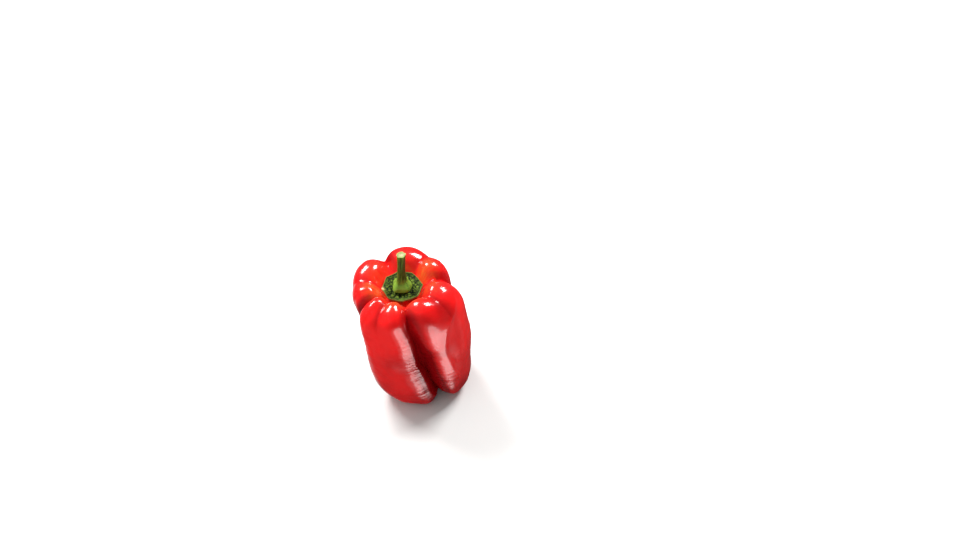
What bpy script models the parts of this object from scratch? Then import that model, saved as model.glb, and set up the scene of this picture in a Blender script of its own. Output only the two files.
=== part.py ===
"""A red bell pepper as picked, standing on the four lobes of its blossom end: fruit, calyx and stem.

Metres, +Z up. The origin is the bottom centre of the whole pepper's box, on the surface that it stands on.
Angles run counter-clockwise seen from above, from +X; the deep front groove is on the -Y side.
"""

import math
from collections import namedtuple

import bmesh
import bpy
import numpy as np

# Fruit: the outline that every lobe's ridge follows, from the calyx seat over the shoulder to the tip.
# The shoulder's drop is measured down from the crest, and the hip's height up from the foot.
FRUIT_HEIGHT = 0.106
CREST_RADIUS = 0.0254
SHOULDER_RADIUS = 0.0400
SHOULDER_DROP = 0.0222
HIP_RADIUS = 0.0385
HIP_HEIGHT = 0.0244
FOOT_RADIUS = 0.0210
SCAR_HEIGHT = 0.0080
RECESS_DEPTH = 0.0100

# Posture: how far the blossom end stands to the side of the shoulders, and how far the top tips
LEAN = 0.0165
TOP_TIP_DEG = 2.0
FOOT_TRIM = 0.0005

# Calyx and stem
CALYX_RADIUS = 0.0146
CALYX_THICKNESS = 0.0012
CALYX_CURL = 0.0012
CALYX_POINT_REACH = 0.0011
CALYX_POINTS = (6, 62, 104, 140, 188, 230, 272, 320)
STEM_LENGTH = 0.0332
STEM_RADIUS = 0.0027
STEM_TIP_RADIUS = 0.0030
STEM_FOOT_RADIUS = 0.0078
STEM_FOOT_HEIGHT = 0.0070
STEM_SWING = 0.0052
STEM_RIBS = 5
STEM_RIB_HEIGHT = 0.0003

GAP = 0.0004
ROW_SPACING = 0.0042
COLUMNS_PER_LOBE = 10

# One crease between two lobes: its bearing at the crest and at the foot, in degrees, its depth in metres at
# the calyx seat's edge, the crest, the shoulder, the side, the hip and the foot, and how gently its two banks
# rise below the shoulder. Every second crease, from the first, runs the whole fruit; those between divide the
# shoulders and fade down the side.
Crease = namedtuple("Crease", "crest_bearing foot_bearing seat crest shoulder side hip foot before after")
CREASES = (
    Crease(-84, -58, 0.0014, 0.0058, 0.0070, 0.0095, 0.0110, 0.0095, 0.36, 1.50),
    Crease(-35, -12, 0.0008, 0.0034, 0.0012, 0.0003, 0.0003, 0.0003, 0.90, 0.80),
    Crease(12, 30, 0.0010, 0.0056, 0.0048, 0.0030, 0.0050, 0.0070, 0.80, 0.80),
    Crease(57, 68, 0.0008, 0.0038, 0.0010, 0.0004, 0.0004, 0.0004, 0.90, 0.90),
    Crease(117, 118, 0.0012, 0.0066, 0.0056, 0.0036, 0.0055, 0.0075, 0.80, 0.80),
    Crease(175, 150, 0.0008, 0.0030, 0.0018, 0.0008, 0.0004, 0.0004, 0.90, 0.90),
    Crease(214, 170, 0.0010, 0.0050, 0.0046, 0.0040, 0.0045, 0.0070, 0.80, 0.80),
    Crease(242, 248, 0.0008, 0.0042, 0.0015, 0.0001, 0.0001, 0.0001, 0.90, 0.90),
)

# How far the ridge of the lobe after each crease stands out from the outline, in metres
Swell = namedtuple("Swell", "crest shoulder side hip")
SWELLS = (
    Swell(0.0, 0.0005, 0.0, 0.0),
    Swell(-0.0010, 0.0035, 0.0030, 0.0),
    Swell(0.0008, -0.0020, -0.0015, 0.0),
    Swell(0.0010, 0.0015, 0.0, 0.0),
    Swell(0.0008, 0.0005, 0.0, 0.0),
    Swell(0.0, -0.0025, -0.0055, -0.0045),
    Swell(0.0, 0.0025, 0.0030, 0.0028),
    Swell(-0.0005, 0.0, 0.0010, 0.0015),
)

# Broad dimples and, where the depth is negative, bulges: bearing in degrees, height, half width, half height
# and depth in metres
Dimple = namedtuple("Dimple", "bearing height half_width half_height depth")
DIMPLES = (
    Dimple(-88, 0.054, 0.013, 0.0075, 0.0016),
    Dimple(-80, 0.034, 0.009, 0.0090, -0.0008),
    Dimple(-60, 0.060, 0.010, 0.0085, 0.0008),
    Dimple(-50, 0.036, 0.009, 0.0090, -0.0006),
    Dimple(-118, 0.044, 0.008, 0.0140, 0.0007),
    Dimple(-8, 0.050, 0.012, 0.0160, 0.0004),
    Dimple(42, 0.058, 0.014, 0.0110, 0.0010),
    Dimple(92, 0.050, 0.012, 0.0130, 0.0009),
    Dimple(150, 0.054, 0.014, 0.0100, 0.0010),
    Dimple(196, 0.062, 0.010, 0.0110, 0.0008),
)

# Stations along the outline: 0 the axis, 1 the seat's edge, 2 crest, 3 shoulder, 4 hip, 5 foot, 6 the scar
SEAT_EDGE, CREST, SHOULDER, SIDE, HIP, FOOT, SCAR = 1.0, 2.0, 3.0, 3.5, 4.0, 5.0, 6.0
CREASE_STATIONS = (0.6, SEAT_EDGE, CREST, SHOULDER, SIDE, HIP, FOOT, SCAR)

# How far the edges of the broad lobe between two whole-length creases fall back from its middle, at each of
# the crease stations
EDGE_FALL = (0.0, 0.0, 0.0012, 0.0022, 0.0024, 0.0034, 0.0030, 0.0)

Material = namedtuple("Material", "name colour roughness")
RED_SKIN = Material("red_skin", (0.62, 0.012, 0.010), 0.18)
GREEN_CALYX = Material("green_calyx", (0.055, 0.105, 0.020), 0.55)
GREEN_STEM = Material("green_stem", (0.16, 0.26, 0.045), 0.45)


def clear_scene():
    for obj in list(bpy.data.objects):
        bpy.data.objects.remove(obj)


def smooth_between(stations, values, at):
    """A curve through the values at the stations, with no overshoot where the neighbours don't pass a value."""
    stations = np.asarray(stations, float)
    values = np.asarray(values, float)
    steps = np.diff(stations)
    rises = np.diff(values) / steps
    slopes = np.zeros(len(values))
    same_way = rises[:-1] * rises[1:] > 0
    harmonic = 2 * rises[:-1] * rises[1:] / np.where(same_way, rises[:-1] + rises[1:], 1)
    slopes[1:-1] = np.where(same_way, harmonic, 0)
    slopes[0], slopes[-1] = rises[0], rises[-1]
    at = np.clip(at, stations[0], stations[-1])
    k = np.clip(np.searchsorted(stations, at, side="right") - 1, 0, len(steps) - 1)
    t = (at - stations[k]) / steps[k]
    return (
        values[k] * (1 + 2 * t) * (1 - t) ** 2
        + steps[k] * slopes[k] * t * (1 - t) ** 2
        + values[k + 1] * t * t * (3 - 2 * t)
        + steps[k] * slopes[k + 1] * t * t * (t - 1)
    )


def seat_height():
    return FRUIT_HEIGHT - RECESS_DEPTH


def seat_radius():
    """The flat floor that the calyx rests on ends a gap outside the calyx's rim."""
    return CALYX_RADIUS + GAP


def outline_knots():
    """(radius, height, heading in degrees, handle share) at each whole station of the ridge outline."""
    return (
        (0.0, seat_height(), 0, 0.33),
        (seat_radius(), seat_height(), 52, 0.30),
        (CREST_RADIUS, FRUIT_HEIGHT, 0, 0.42),
        (SHOULDER_RADIUS, FRUIT_HEIGHT - SHOULDER_DROP, -90, 0.40),
        (HIP_RADIUS, HIP_HEIGHT, -97, 0.40),
        (FOOT_RADIUS, 0.0, 180, 0.38),
        (0.0, SCAR_HEIGHT, 180, 0.30),
    )


def outline(at):
    """Radius, height and outward normal of the ridge outline at each station in at."""
    at = np.asarray(at, float)
    knots = outline_knots()
    k = np.clip(at.astype(int), 0, len(knots) - 2)
    t = at - k
    radius, height, heading, share = (np.array(column, float) for column in zip(*knots))
    heading = np.radians(heading)
    chord = np.hypot(radius[k + 1] - radius[k], height[k + 1] - height[k])
    first = share[k] * chord
    second = share[k + 1] * chord
    handles = []
    for ends, turn in ((radius, np.cos), (height, np.sin)):
        p0 = ends[k]
        p3 = ends[k + 1]
        handles.append((p0, p0 + first * turn(heading[k]), p3 - second * turn(heading[k + 1]), p3))
    place = []
    travel = []
    for p0, p1, p2, p3 in handles:
        place.append((1 - t) ** 3 * p0 + 3 * t * (1 - t) ** 2 * p1 + 3 * t * t * (1 - t) * p2 + t**3 * p3)
        travel.append((1 - t) ** 2 * (p1 - p0) + 2 * t * (1 - t) * (p2 - p1) + t * t * (p3 - p2))
    length = np.hypot(*travel)
    return place[0], place[1], -travel[1] / length, travel[0] / length


def rows_of_outline(spacing):
    """Stations from just off the axis to the scar, about spacing apart along the outline."""
    fine = np.linspace(0, SCAR, 1201)
    radius, height = outline(fine)[:2]
    along = np.concatenate([[0], np.cumsum(np.hypot(np.diff(radius), np.diff(height)))])
    count = max(12, round(along[-1] / spacing))
    return np.interp(np.linspace(0, along[-1], count + 1)[1:-1], along, fine)


def lobe_form(t, power):
    """0 in the crease and 1 on the lobe's ridge: nearly an arc, with a small round in the crease's bottom."""
    rounding = 0.10
    low = rounding**power
    wave = (np.sin(np.pi * t) ** 2 + rounding**2) ** (power / 2)
    return (wave - low) / ((1 + rounding**2) ** (power / 2) - low)


def eased(value, low, high):
    """0 below low and 1 above high, eased between them."""
    t = np.clip((value - low) / (high - low), 0, 1)
    return t * t * (3 - 2 * t)


def crease_bank(bank, station):
    """How gently a crease's bank rises: the same all round at the crest, and its own below the shoulder."""
    return 0.78 + (bank - 0.78) * eased(station, CREST, SIDE) * (1 - 0.5 * eased(station, HIP, FOOT))


def dimple_depth(bearing, height, radius):
    """How far in the broad dimples lie at each point."""
    depth = np.zeros_like(height)
    for dimple in DIMPLES:
        away = np.mod(bearing - np.radians(dimple.bearing) + np.pi, 2 * np.pi) - np.pi
        across = away * radius / dimple.half_width
        up = (height - dimple.height) / dimple.half_height
        depth = depth + dimple.depth * np.exp(-(across**2) - up**2)
    return depth


def crease_depth(crease, station):
    depths = (0.0, crease.seat, crease.crest, crease.shoulder, crease.side, crease.hip, crease.foot, 0.0)
    return smooth_between(CREASE_STATIONS, depths, station)


def crease_bearing(crease, station):
    share = np.clip((station - CREST) / (FOOT - CREST), 0, 1) ** 2
    turn = crease.foot_bearing - crease.crest_bearing
    return np.radians(crease.crest_bearing + turn * share)


def ridge_swell(lobe, station):
    """How far the lobe's ridge stands out from the outline at each station."""
    swell = SWELLS[lobe % len(SWELLS)]
    return smooth_between(CREASE_STATIONS, (0.0, 0.0, *swell, 0.0, 0.0), station)


def span(first, second, station):
    """The bearings that two creases run at, the second counter-clockwise of the first."""
    start = crease_bearing(first, station)
    end = crease_bearing(second, station)
    return start, end + 2 * np.pi * (end < start)


def fruit_surface(lobe, t, station):
    """Points of the fruit before it leans: t runs across the lobe from its own crease to the next one."""
    first = CREASES[lobe]
    second = CREASES[(lobe + 1) % len(CREASES)]
    start, end = span(first, second, station)
    bearing = start + (end - start) * t
    ease = t * t * (3 - 2 * t)
    depth = crease_depth(first, station) * (1 - ease) + crease_depth(second, station) * ease
    bank = crease_bank(first.after, station) * (1 - ease) + crease_bank(second.before, station) * ease
    inward = depth * (1 - lobe_form(t, bank))

    whole = lobe - lobe % 2
    start, end = span(CREASES[whole], CREASES[(whole + 2) % len(CREASES)], station)
    across = np.clip(np.mod(bearing - start, 2 * np.pi) / (end - start), 0, 1)
    turn = across * across * (3 - 2 * across)
    before = crease_bank(CREASES[(whole + 2) % len(CREASES)].before, station)
    slope = crease_bank(CREASES[whole].after, station) * (1 - turn) + before * turn
    wave = np.clip(np.sin(np.pi * across), 0, 1) ** (0.55 + 0.45 * slope)
    inward = inward + smooth_between(CREASE_STATIONS, EDGE_FALL, station) * (1 - wave)

    # Halfway across, a lobe's own swell counts alone; at a crease, it counts as much as the neighbour's.
    own = ridge_swell(lobe, station)
    beside = np.where(t < 0.5, ridge_swell(lobe - 1, station), ridge_swell(lobe + 1, station))
    inward = inward - own - 2 * (t - 0.5) ** 2 * (beside - own)

    radius, height, out_r, out_z = outline(station)
    inward = inward + dimple_depth(bearing, height, radius)
    radius = radius - inward * out_r
    height = height - inward * out_z
    return np.stack([radius * np.cos(bearing), radius * np.sin(bearing), height], axis=-1)


def lean(points):
    """Carries points from the straight frame to the leaning fruit: the tip swings out, the top tips."""
    x, y, z = points[..., 0], points[..., 1], points[..., 2]
    share = z / FRUIT_HEIGHT
    tip = math.tan(math.radians(TOP_TIP_DEG)) * np.clip(share, 0, 1.5) ** 2
    return np.stack([x + LEAN * (0.5 - share), y, z + x * tip], axis=-1)


def ring_faces(rings, columns, start=0):
    """Quads between rings of vertices that run the same way, wound to face away from the axis going down."""
    faces = []
    for ring in range(rings - 1):
        for column in range(columns):
            here = start + ring * columns + column
            beside = start + ring * columns + (column + 1) % columns
            faces.append((here, here + columns, beside + columns, beside))
    return faces


def closed_rings(rings, top, bottom):
    """One closed surface: a vertex at the top, rings of equal length below it and a vertex at the bottom."""
    count, columns = rings.shape[:2]
    points = np.concatenate([rings.reshape(-1, 3), [top], [bottom]])
    faces = ring_faces(count, columns)
    over = count * columns
    under = over + 1
    last = (count - 1) * columns
    for column in range(columns):
        beside = (column + 1) % columns
        faces.append((over, column, beside))
        faces.append((under, last + beside, last + column))
    return points, faces


def fruit_mesh():
    """The fruit, with its columns closer together beside the creases."""
    stations = rows_of_outline(ROW_SPACING)
    t = np.arange(COLUMNS_PER_LOBE) / COLUMNS_PER_LOBE
    t = t - 0.08 * np.sin(2 * np.pi * t)
    across, down = np.meshgrid(t, stations)
    rings = np.concatenate([fruit_surface(k, across, down) for k in range(len(CREASES))], axis=1)
    top = lean(np.array([0, 0, seat_height()]))
    return closed_rings(lean(rings), top, lean(np.array([0, 0, SCAR_HEIGHT])))


def recess_height(radius):
    """Height of the ridge outline inside the crest, at each radius."""
    stations = np.linspace(0, CREST, 200)
    outline_radius, outline_height = outline(stations)[:2]
    return np.interp(radius, outline_radius, outline_height)


def calyx_rim(bearing):
    """The calyx's outline: blunt points with shallow bays between them."""
    points = np.radians(CALYX_POINTS)
    ends = np.concatenate([points, [points[0] + 2 * np.pi]])
    turned = np.mod(bearing - points[0], 2 * np.pi) + points[0]
    k = np.clip(np.searchsorted(ends, turned, side="right") - 1, 0, len(points) - 1)
    across = (turned - ends[k]) / (ends[k + 1] - ends[k])
    return CALYX_RADIUS - CALYX_POINT_REACH * np.sin(np.pi * across)


def calyx_mesh():
    """A thin dish a gap above the seat, flat under the stem's foot, its rim curled up."""
    columns = 8 * len(CALYX_POINTS)
    bearing = 2 * np.pi * np.arange(columns) / columns
    shares = np.linspace(0.15, 1, 7)
    radius = shares[:, None] * calyx_rim(bearing)[None, :]
    beyond_foot = np.clip((radius - STEM_FOOT_RADIUS) / (CALYX_RADIUS - STEM_FOOT_RADIUS), 0, 1)
    curl = CALYX_CURL * beyond_foot**2
    under = recess_height(radius) + GAP + curl
    circle = np.stack([np.cos(bearing), np.sin(bearing)], axis=-1)[None]
    plan = radius[..., None] * circle
    top = np.concatenate([plan, (under + CALYX_THICKNESS)[..., None]], axis=-1)
    bottom = np.concatenate([plan, under[..., None]], axis=-1)
    rings = np.concatenate([top, bottom[::-1]])
    floor = seat_height() + GAP
    top = lean(np.array([0, 0, floor + CALYX_THICKNESS]))
    return closed_rings(lean(rings), top, lean(np.array([0, 0, floor])))


def stem_foot_height():
    return seat_height() + GAP + CALYX_THICKNESS + GAP


def stem_mesh():
    """A ribbed stem with a swollen foot and a plain cut end, bowed slightly to one side."""
    columns = 4 * STEM_RIBS
    bearing = 2 * np.pi * np.arange(columns) / columns
    heights = np.concatenate(
        [np.linspace(0, STEM_FOOT_HEIGHT, 6), np.linspace(STEM_FOOT_HEIGHT, STEM_LENGTH, 9)[1:]]
    )
    dome = np.sqrt(np.clip(1 - (heights / STEM_FOOT_HEIGHT) ** 2, 0, 1))
    taper = smooth_between(
        (0, STEM_FOOT_HEIGHT, 0.55 * STEM_LENGTH, STEM_LENGTH),
        (STEM_RADIUS, 1.35 * STEM_RADIUS, STEM_RADIUS, STEM_TIP_RADIUS),
        heights,
    )
    radius = np.maximum(taper, STEM_RADIUS + (STEM_FOOT_RADIUS - STEM_RADIUS) * dome)
    rib = STEM_RIB_HEIGHT * np.cos(STEM_RIBS * bearing)
    reach = radius[:, None] + rib[None, :]
    bow = STEM_SWING * (heights / STEM_LENGTH) ** 1.2
    level = stem_foot_height() + heights
    rings = np.stack(
        [
            reach * np.cos(bearing) + bow[:, None],
            reach * np.sin(bearing),
            np.repeat(level[:, None], columns, axis=1),
        ],
        axis=-1,
    )[::-1]
    foot = np.array([0, 0, level[0]])
    end = np.array([bow[-1], 0, level[-1]])
    return closed_rings(lean(rings), lean(end), lean(foot))


def box_bottom_centre(meshes):
    """The bottom centre of the whole pepper's box, with the feet trimmed flat."""
    points = np.concatenate([mesh_points for mesh_points, _ in meshes])
    low = points.min(axis=0)
    high = points.max(axis=0)
    return np.array([(low[0] + high[0]) / 2, (low[1] + high[1]) / 2, low[2] + FOOT_TRIM])


def material_of(finish):
    material = bpy.data.materials.new(finish.name)
    material.use_nodes = True
    shader = material.node_tree.nodes["Principled BSDF"]
    shader.inputs["Base Color"].default_value = (*finish.colour, 1)
    shader.inputs["Roughness"].default_value = finish.roughness
    shader.inputs["Metallic"].default_value = 0
    material.diffuse_color = (*finish.colour, 1)
    return material


def add_piece(name, points, faces, location, finish, parent):
    """One named object whose own origin is at location."""
    mesh = bpy.data.meshes.new(name)
    mesh.from_pydata((points - location).tolist(), [], faces)
    mesh.materials.append(material_of(finish))
    mesh.shade_smooth()
    obj = bpy.data.objects.new(name, mesh)
    obj.location = location
    obj.parent = parent
    bpy.context.scene.collection.objects.link(obj)
    return obj


def trim_feet(obj):
    """Cuts the fruit's feet off flat at the surface that it stands on."""
    mesh = bmesh.new()
    mesh.from_mesh(obj.data)
    floor = -obj.location.z
    everything = mesh.verts[:] + mesh.edges[:] + mesh.faces[:]
    cut = bmesh.ops.bisect_plane(
        mesh, geom=everything, plane_co=(0, 0, floor), plane_no=(0, 0, -1), clear_outer=True
    )
    rims = [item for item in cut["geom_cut"] if isinstance(item, bmesh.types.BMEdge)]
    bmesh.ops.holes_fill(mesh, edges=rims)
    bmesh.ops.recalc_face_normals(mesh, faces=mesh.faces[:])
    mesh.to_mesh(obj.data)
    mesh.free()
    obj.data.set_sharp_from_angle(angle=math.radians(50))


def main():
    clear_scene()
    pepper = bpy.data.objects.new("pepper", None)
    bpy.context.scene.collection.objects.link(pepper)
    meshes = [fruit_mesh(), calyx_mesh(), stem_mesh()]
    origin = box_bottom_centre(meshes)
    calyx_seat = lean(np.array([0, 0, seat_height() + GAP]))
    seats = [np.zeros(3), calyx_seat, lean(np.array([0, 0, stem_foot_height()]))]
    names = ("fruit", "calyx", "stem")
    finishes = (RED_SKIN, GREEN_CALYX, GREEN_STEM)
    for name, (points, faces), seat, finish in zip(names, meshes, seats, finishes):
        location = np.zeros(3) if name == "fruit" else seat - origin
        add_piece(name, points - origin, faces, location, finish, pepper)
    trim_feet(bpy.data.objects["fruit"])


main()
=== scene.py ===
"""A red bell pepper as picked, on a pale studio floor: waxy lobed fruit, puckered calyx and ribbed stem.

Metres, +Z up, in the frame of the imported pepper. Bearings run counter-clockwise seen from above, from +X.
"""

import math
from collections import namedtuple

import bpy
import numpy as np
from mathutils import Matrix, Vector, noise


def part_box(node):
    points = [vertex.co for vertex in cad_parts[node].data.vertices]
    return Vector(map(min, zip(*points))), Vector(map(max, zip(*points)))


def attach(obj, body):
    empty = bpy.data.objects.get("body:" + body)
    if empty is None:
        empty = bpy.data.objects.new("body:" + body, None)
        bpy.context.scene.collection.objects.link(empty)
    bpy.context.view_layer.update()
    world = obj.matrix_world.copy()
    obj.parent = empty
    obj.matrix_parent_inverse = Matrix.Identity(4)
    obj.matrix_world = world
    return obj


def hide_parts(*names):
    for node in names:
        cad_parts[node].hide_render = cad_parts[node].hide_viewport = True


bl_info = {
    "name": "Bell Pepper",
    "version": (1, 0, 0),
    "blender": (4, 5, 0),
    "location": "3D View > Sidebar > Pepper",
    "description": "Grows a red bell pepper around its packed model and sets it on a pale studio floor",
    "category": "Object",
}

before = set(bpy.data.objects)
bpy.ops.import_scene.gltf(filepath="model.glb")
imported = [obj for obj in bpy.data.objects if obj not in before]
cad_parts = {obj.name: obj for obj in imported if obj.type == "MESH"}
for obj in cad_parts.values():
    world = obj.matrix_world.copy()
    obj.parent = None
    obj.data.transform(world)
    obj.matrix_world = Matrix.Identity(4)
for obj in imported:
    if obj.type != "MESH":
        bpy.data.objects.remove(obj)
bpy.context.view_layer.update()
FRUIT_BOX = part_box("fruit")

# One crease between two lobes: its bearing at the crest and at the foot, in degrees, its depth in metres at
# the seat's edge, the crest, the shoulder, the side, the hip and the foot, and how gently its two banks rise
# below the shoulder. Every second one, from the first, runs the whole fruit; those between divide the
# shoulders and fade down the side.
Crease = namedtuple(
    "Crease", "crest_bearing foot_bearing seat crest shoulder side hip foot bank_before bank_after"
)
CREASES = (
    Crease(-84, -58, 0.0024, 0.0054, 0.0070, 0.0095, 0.0110, 0.0095, 0.36, 1.50),
    Crease(-35, -12, 0.0008, 0.0034, 0.0012, 0.0003, 0.0003, 0.0003, 0.90, 0.80),
    Crease(12, 30, 0.0010, 0.0056, 0.0048, 0.0030, 0.0050, 0.0070, 0.80, 0.80),
    Crease(57, 68, 0.0008, 0.0038, 0.0010, 0.0004, 0.0004, 0.0004, 0.90, 0.90),
    Crease(117, 118, 0.0012, 0.0066, 0.0056, 0.0036, 0.0055, 0.0075, 0.80, 0.80),
    Crease(175, 150, 0.0008, 0.0030, 0.0018, 0.0008, 0.0004, 0.0004, 0.90, 0.90),
    Crease(214, 170, 0.0010, 0.0050, 0.0046, 0.0040, 0.0045, 0.0070, 0.80, 0.80),
    Crease(242, 248, 0.0008, 0.0042, 0.0004, 0.0001, 0.0001, 0.0001, 0.90, 0.90),
)

# How gently every bank rises at the crest
CREST_BANK = 0.78

# How far the ridge of the lobe after each crease stands out from the outline, in metres
Swell = namedtuple("Swell", "crest shoulder side hip")
SWELLS = (
    Swell(0.0, 0.0005, 0.0, 0.0),
    Swell(-0.0010, 0.0035, 0.0030, 0.0),
    Swell(0.0008, -0.0020, -0.0015, 0.0),
    Swell(0.0010, 0.0015, 0.0, 0.0),
    Swell(0.0008, 0.0005, 0.0, 0.0),
    Swell(0.0, -0.0025, -0.0055, -0.0045),
    Swell(0.0, 0.0025, 0.0030, 0.0028),
    Swell(-0.0005, 0.0, 0.0010, 0.0015),
)

# Broad dimples and, where the depth is negative, bulges: bearing in degrees, height, half width, half height
# and depth in metres
Dimple = namedtuple("Dimple", "bearing height half_width half_height depth")
DIMPLES = (
    Dimple(-88, 0.054, 0.013, 0.0075, 0.0016),
    Dimple(-80, 0.034, 0.009, 0.0090, -0.0008),
    Dimple(-60, 0.060, 0.010, 0.0085, 0.0008),
    Dimple(-50, 0.036, 0.009, 0.0090, -0.0006),
    Dimple(-118, 0.044, 0.008, 0.0140, 0.0007),
    Dimple(-8, 0.050, 0.012, 0.0160, 0.0004),
    Dimple(42, 0.058, 0.014, 0.0110, 0.0010),
    Dimple(92, 0.050, 0.012, 0.0130, 0.0009),
    Dimple(150, 0.054, 0.014, 0.0100, 0.0010),
    Dimple(196, 0.062, 0.010, 0.0110, 0.0008),
    Dimple(-104, 0.097, 0.013, 0.0070, -0.0019),
    Dimple(-136, 0.096, 0.010, 0.0070, -0.0014),
)

# Folds, and valleys where the height is negative: the way down as heights with their bearings in degrees,
# then the height, half width, and the heights between which it fades in and out, in metres
Fold = namedtuple("Fold", "heights bearings height half_width low high")
FOLDS = (
    Fold(
        (0.014, 0.029, 0.045, 0.062, 0.082, 0.091, 0.104),
        (-36, -39, -47, -52, -43, -29, -6),
        0.0009, 0.0035, 0.026, 0.099,
    ),
    Fold((0.060, 0.085, 0.106), (188, 194, 199), -0.0011, 0.0032, 0.074, 0.103),
    Fold((0.080, 0.095, 0.106), (222, 229, 236), -0.0006, 0.0022, 0.086, 0.103),
    Fold((0.060, 0.085, 0.106), (140, 143, 146), -0.0007, 0.0030, 0.078, 0.103),
    Fold((0.050, 0.080, 0.106), (82, 88, 92), -0.0008, 0.0036, 0.070, 0.104),
)

# The lip along the front crease, on the side before it: how far it stands from the crease, half its width and
# its height, in metres
LIP_AWAY, LIP_HALF_WIDTH, LIP_HEIGHT = 0.0034, 0.0022, 0.0020

# How far the cross ripples reach from the four long creases, in metres
RIPPLE_REACH = 0.015

# How orange each lobe is beside the calyx, from 0 to 1
BLUSHES = (0.22, 0.35, 0.9, 0.12, 0.25, 0.75, 0.15, 0.50)

# Stations along the outline, from 0 on the axis round to 6 at the scar. The side is halfway to the hip.
SEAT_EDGE, CREST, SHOULDER, SIDE, HIP, FOOT, SCAR = 1.0, 2.0, 3.0, 3.5, 4.0, 5.0, 6.0
CREASE_STATIONS = (0.6, SEAT_EDGE, CREST, SHOULDER, SIDE, HIP, FOOT, SCAR)

# How far a lobe falls away towards its long creases, in metres, at each of the crease stations
EDGE_FALL = (0.0, 0.0, 0.0012, 0.0022, 0.0024, 0.0034, 0.0030, 0.0)

# Lumps of the stem's swollen foot: bearing in degrees and size, then the height that size 1 adds, in metres,
# and half a lump's width in radians
FOOT_LUMPS = ((230, 1.40), (304, 1.10), (0, 0.7), (62, 0.7), (140, 0.7))
LUMP_HEIGHT, LUMP_HALF_WIDTH = 0.0019, 0.48

# Bearings of the calyx's blunt points, in degrees, and of the dried one, with its half width in radians
CALYX_POINTS = (6, 62, 104, 140, 188, 230, 272, 320)
DRY_POINT, DRY_HALF_WIDTH = 188, 0.10

# How far the calyx's rim waves up here and there, in metres
RIM_WAVE = 0.0012

# Soft pale pools that the gloss picks up: the way to each, its half width in degrees and its strength
SOFT_POOLS = (
    ((0.48, -0.64, -0.60), 23, 5.2),
    ((0.42, -0.67, -0.61), 34, 0.8),
    ((0.72, 0.10, -0.66), 8, 0.18),
    ((-0.36, 0.63, -0.69), 20, 0.5),
)

# A pool fades out between these two shares of its half width
POOL_EDGE = (0.80, 1.25)

# The way to the brightest part of the soft dome overhead
DOME_WAY = (-0.62, -0.34, 0.70)

# The two windows behind: the way to each from the fruit's middle, its width and height, and its power share
WINDOWS = (
    ("left_window", (-0.423, 0.405, 0.675), (0.44, 0.34), 1.0),
    ("right_window", (0.423, 0.405, 0.675), (0.34, 0.28), 0.75),
)

# The lobe at the back that the fruit's columns of vertices start at
SEAM_LOBE = 4

# Columns of vertices across each lobe, how much closer they stand at its creases, and rows down the fruit
LOBE_COLUMNS = 36
COLUMN_CROWDING = 0.105
FRUIT_ROWS = 330

# The radius of the even tube that the skin is unrolled from, in metres
UNROLLED_RADIUS = 0.036


# ---------------------------------------------------------------------------------------------- settings


def length_property(name, description, default):
    return bpy.props.FloatProperty(
        name=name,
        description=description,
        default=default,
        min=0.0,
        subtype="DISTANCE",
        unit="LENGTH",
        precision=4,
    )


def colour_property(name, description, default):
    return bpy.props.FloatVectorProperty(
        name=name, description=description, default=default, size=3, min=0.0, max=1.0, subtype="COLOR"
    )


def share_property(name, description, default):
    return bpy.props.FloatProperty(
        name=name, description=description, default=default, min=0.0, max=1.0, subtype="FACTOR"
    )


class PepperFruitSettings(bpy.types.PropertyGroup):
    """Sizes and colours of the fruit"""

    height: length_property("Height", "From the foot's plane up to the crests, feet not yet flat", 0.106)
    crest_radius: length_property("Crest radius", "From the axis to the crests around the calyx", 0.0254)
    shoulder_radius: length_property("Shoulder radius", "From the axis to the widest part", 0.0400)
    shoulder_drop: length_property("Shoulder drop", "From the crests down to the widest part", 0.0222)
    hip_radius: length_property("Hip radius", "From the axis to the lobes above the blossom end", 0.0385)
    hip_height: length_property("Hip height", "From the foot's plane up to the hip", 0.0244)
    foot_radius: length_property("Foot radius", "From the axis to where the lobes touch down", 0.0210)
    scar_height: length_property("Scar height", "How far the blossom scar is drawn up", 0.0080)
    recess_depth: length_property("Recess depth", "From the crests down to the calyx's seat", 0.0100)
    lean: length_property("Lean", "How far the blossom end stands to the side of the shoulders", 0.0165)
    top_tip: bpy.props.FloatProperty(
        name="Top tip",
        description="How far the top tips",
        default=math.radians(2.0),
        subtype="ANGLE",
        unit="ROTATION",
    )
    foot_trim: length_property("Foot trim", "How much of each foot is pressed flat", 0.0005)
    dent_depth: length_property("Dent depth", "Height of the broad dents in the lobes", 0.00130)
    ripple_depth: length_property("Ripple depth", "Height of the cross ripples beside the creases", 0.00022)
    pucker_depth: length_property("Pucker depth", "Height of the folds that run out from the calyx", 0.00012)
    skin_red: colour_property("Skin red", "The lobes' bright red", (0.86, 0.010, 0.010))
    # This deep red colours the random ripe patches, and is also painted as shade in the creases and towards
    # the bottom.
    ripe_and_shade_red: colour_property("Deep red", "The darker red in creases and ripe patches", (0.24, 0.002, 0.004))
    blush_orange: colour_property("Blush", "The orange beside the calyx", (0.62, 0.13, 0.018))
    scar_brown: colour_property("Scar brown", "The dry spot at the blossom end", (0.16, 0.07, 0.03))


class PepperCalyxSettings(bpy.types.PropertyGroup):
    """Sizes and colours of the calyx"""

    radius: length_property("Radius", "From the stem's axis to the blunt points", 0.0146)
    thickness: length_property("Thickness", "Thickness of the leafy disc", 0.0012)
    curl: length_property("Curl", "How far the rim curls up", 0.0012)
    point_reach: length_property("Point reach", "How far the points stand out beyond the bays", 0.0011)
    pucker_depth: length_property("Pucker depth", "Depth of the pits between the puckers", 0.0015)
    # The pits' near black is painted shade; the tops keep the leaf's own green.
    leaf_green: colour_property("Leaf green", "The tops of the puckers", (0.092, 0.142, 0.014))
    pit_shade: colour_property("Pit green", "The dark pits", (0.004, 0.009, 0.002))
    rim_green: colour_property("Rim green", "The thin pale rim", (0.15, 0.21, 0.055))
    tip_tan: colour_property("Tip tan", "The dry point", (0.50, 0.34, 0.17))


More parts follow.
